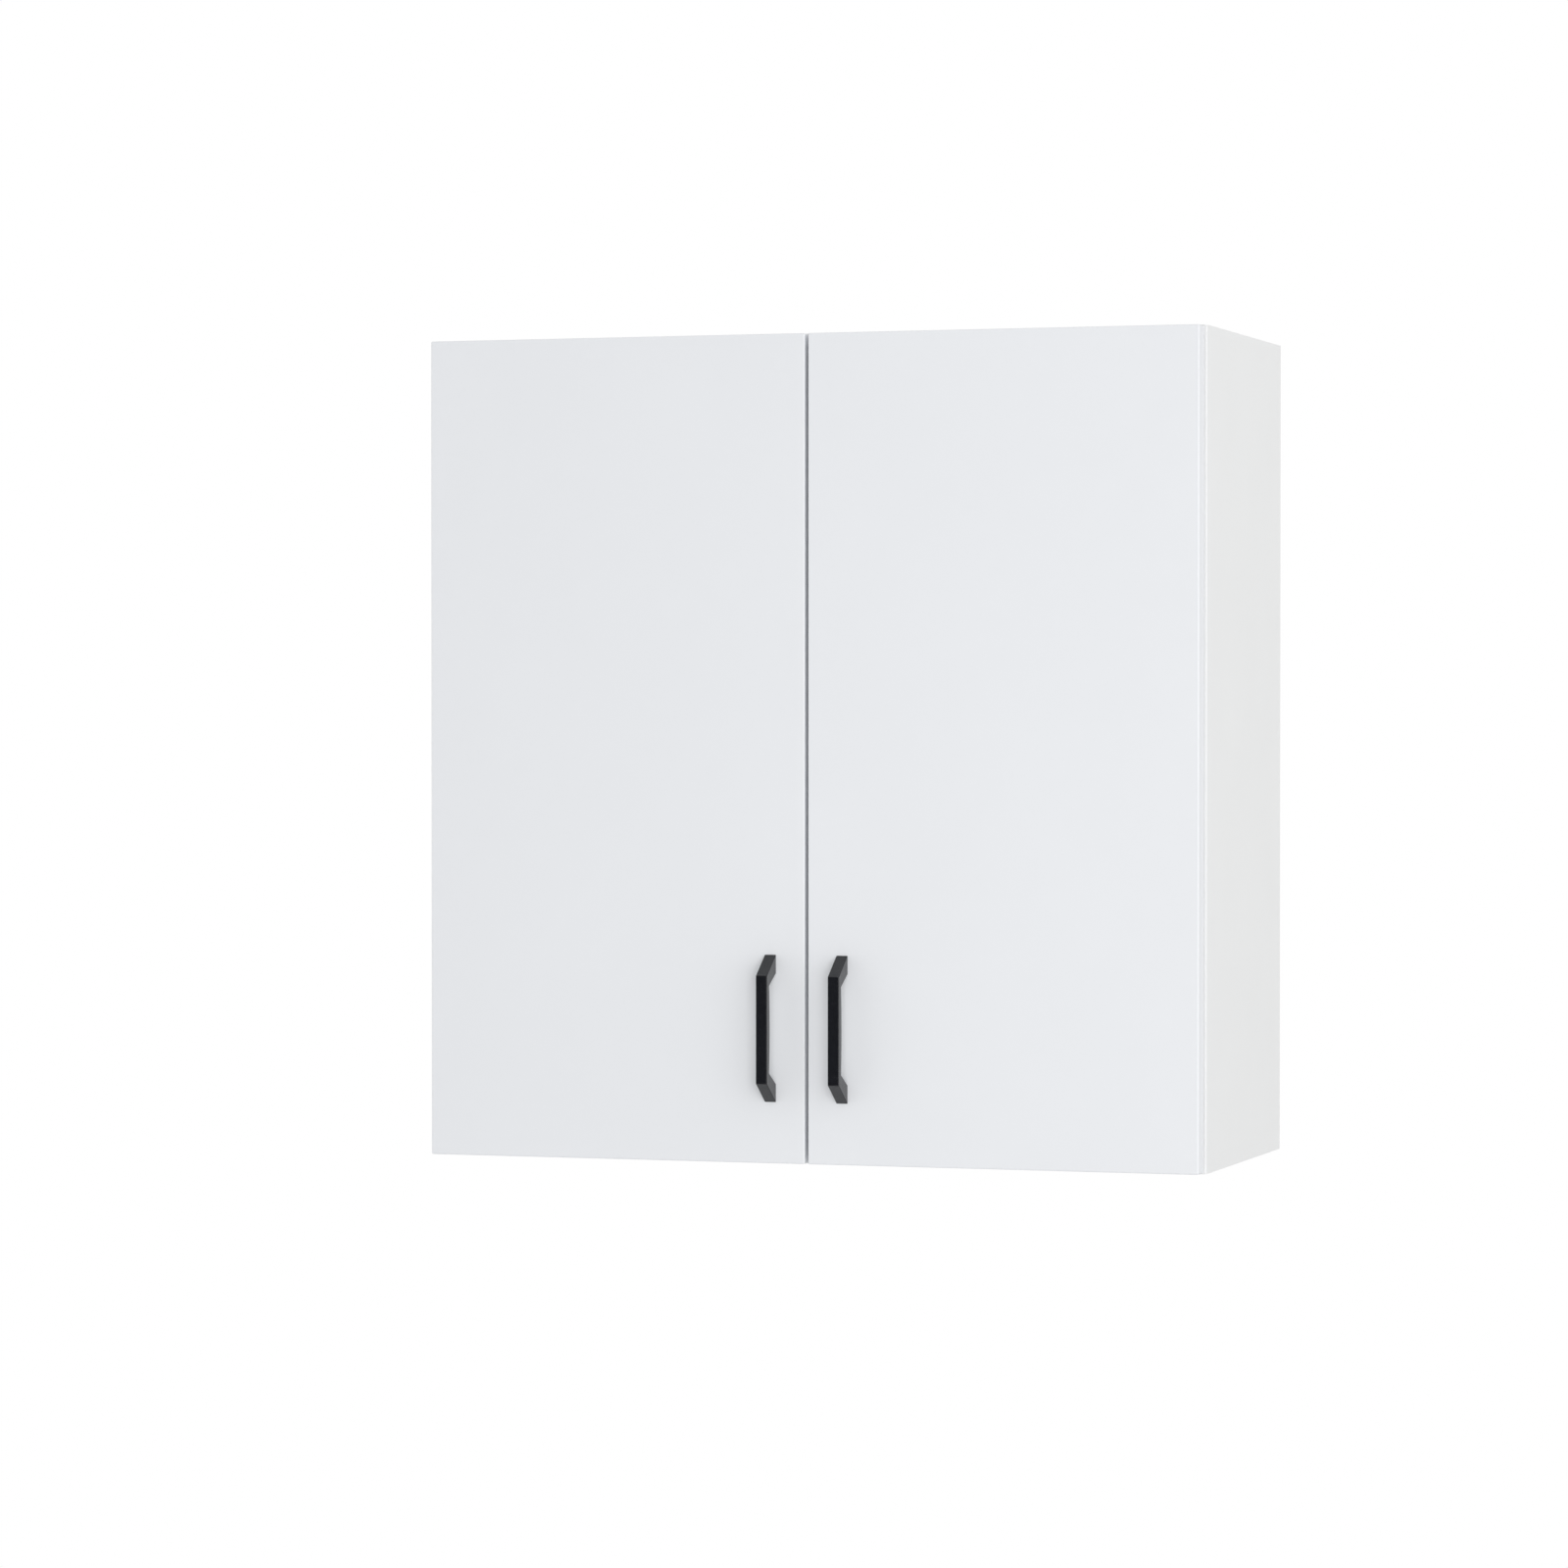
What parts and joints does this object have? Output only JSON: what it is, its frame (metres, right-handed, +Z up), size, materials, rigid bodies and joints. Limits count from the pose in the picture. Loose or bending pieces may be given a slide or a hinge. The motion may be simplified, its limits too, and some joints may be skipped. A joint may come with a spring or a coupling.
{
  "type": "hanging wall cabinet",
  "caption": "White hanging wall cabinet with two overlay doors on concealed cup hinges, black bow handles, adjustable shelves and hidden hanging hooks.",
  "frame": {"origin": "in the wall plane, at mid-width and at mid-thickness of the top panel, on that panel's rear edge", "axes": "+X to the right seen from the front, +Y into the wall, +Z up; the doors face -Y"},
  "size_m": [0.7, 0.3253, 0.72],
  "materials": {
    "white_board": "satin white melamine on particleboard",
    "white_door": "smooth satin white foil on MDF, rounded edges",
    "white_back": "white lacquered hardboard",
    "black_handle": "satin black powder coat",
    "nickel": "nickel-plated steel",
    "zinc": "die-cast zinc, dull",
    "clear_bumper": "clear polyurethane pad"
  },
  "bodies": {
    "cabinet": {"left_side_panel": "white_board", "right_side_panel": "white_board", "top_panel": "white_board", "bottom_panel": "white_board", "back_panel": "white_back", "lower_shelf": "white_board", "upper_shelf": "white_board", "left_hanger_bracket": "zinc", "left_hanger_hook": "nickel", "shelf_pin_lower_left_front": "nickel", "shelf_pin_lower_left_rear": "nickel", "shelf_pin_upper_left_front": "nickel", "shelf_pin_upper_left_rear": "nickel", "cam_lock_top_left_front": "zinc", "cam_lock_top_left_rear": "zinc", "cam_lock_bottom_left_front": "zinc", "cam_lock_bottom_left_rear": "zinc", "left_hinge_upper_plate": "nickel", "left_hinge_upper_arm": "nickel", "left_hinge_lower_plate": "nickel", "left_hinge_lower_arm": "nickel", "right_hanger_bracket": "zinc", "right_hanger_hook": "nickel", "shelf_pin_lower_right_front": "nickel", "shelf_pin_lower_right_rear": "nickel", "shelf_pin_upper_right_front": "nickel", "shelf_pin_upper_right_rear": "nickel", "cam_lock_top_right_front": "zinc", "cam_lock_top_right_rear": "zinc", "cam_lock_bottom_right_front": "zinc", "cam_lock_bottom_right_rear": "zinc", "right_hinge_upper_plate": "nickel", "right_hinge_upper_arm": "nickel", "right_hinge_lower_plate": "nickel", "right_hinge_lower_arm": "nickel"},
    "left_outer_links": {"left_hinge_upper_outer_link": "nickel", "left_hinge_lower_outer_link": "nickel"},
    "left_inner_links": {"left_hinge_upper_inner_link": "nickel", "left_hinge_lower_inner_link": "nickel"},
    "left_door": {"left_door": "white_door", "left_handle": "black_handle", "left_handle_screw_upper": "nickel", "left_handle_screw_lower": "nickel", "left_door_bumper_upper": "clear_bumper", "left_door_bumper_lower": "clear_bumper", "left_hinge_upper_cup": "nickel", "left_hinge_lower_cup": "nickel"},
    "right_outer_links": {"right_hinge_upper_outer_link": "nickel", "right_hinge_lower_outer_link": "nickel"},
    "right_inner_links": {"right_hinge_upper_inner_link": "nickel", "right_hinge_lower_inner_link": "nickel"},
    "right_door": {"right_door": "white_door", "right_handle": "black_handle", "right_handle_screw_upper": "nickel", "right_handle_screw_lower": "nickel", "right_door_bumper_upper": "clear_bumper", "right_door_bumper_lower": "clear_bumper", "right_hinge_upper_cup": "nickel", "right_hinge_lower_cup": "nickel"}
  },
  "joints": [
    {"name": "left_outer_link_turn", "type": "hinge", "parent": "cabinet", "child": "left_outer_links", "pos_m": [-0.3248, -0.2809, -0.352], "axis": [0, 0, -1], "range_deg": [-28.5, 0]},
    {"name": "left_door_swing", "type": "hinge", "parent": "left_outer_links", "child": "left_door", "pos_m": [-0.3395, -0.2876, -0.352], "axis": [0, 0, -1], "range_deg": [0, 123.5]},
    {"name": "left_inner_link_turn", "type": "hinge", "parent": "cabinet", "child": "left_inner_links", "pos_m": [-0.3185, -0.2865, -0.352], "axis": [0, 0, -1], "range_deg": [-57, 0]},
    {"name": "right_outer_link_turn", "type": "hinge", "parent": "cabinet", "child": "right_outer_links", "pos_m": [0.3248, -0.2809, -0.352], "axis": [0, 0, 1], "range_deg": [-28.5, 0]},
    {"name": "right_door_swing", "type": "hinge", "parent": "right_outer_links", "child": "right_door", "pos_m": [0.3395, -0.2876, -0.352], "axis": [0, 0, 1], "range_deg": [0, 123.5]},
    {"name": "right_inner_link_turn", "type": "hinge", "parent": "cabinet", "child": "right_inner_links", "pos_m": [0.3185, -0.2865, -0.352], "axis": [0, 0, 1], "range_deg": [-57, 0]}
  ],
  "couplings": [
    {"joint": "left_outer_link_turn", "follows": "left_door_swing", "ratio": -0.23077},
    {"joint": "left_inner_link_turn", "follows": "left_door_swing", "ratio": -0.46154},
    {"joint": "right_outer_link_turn", "follows": "right_door_swing", "ratio": -0.23077},
    {"joint": "right_inner_link_turn", "follows": "right_door_swing", "ratio": -0.46154}
  ]
}
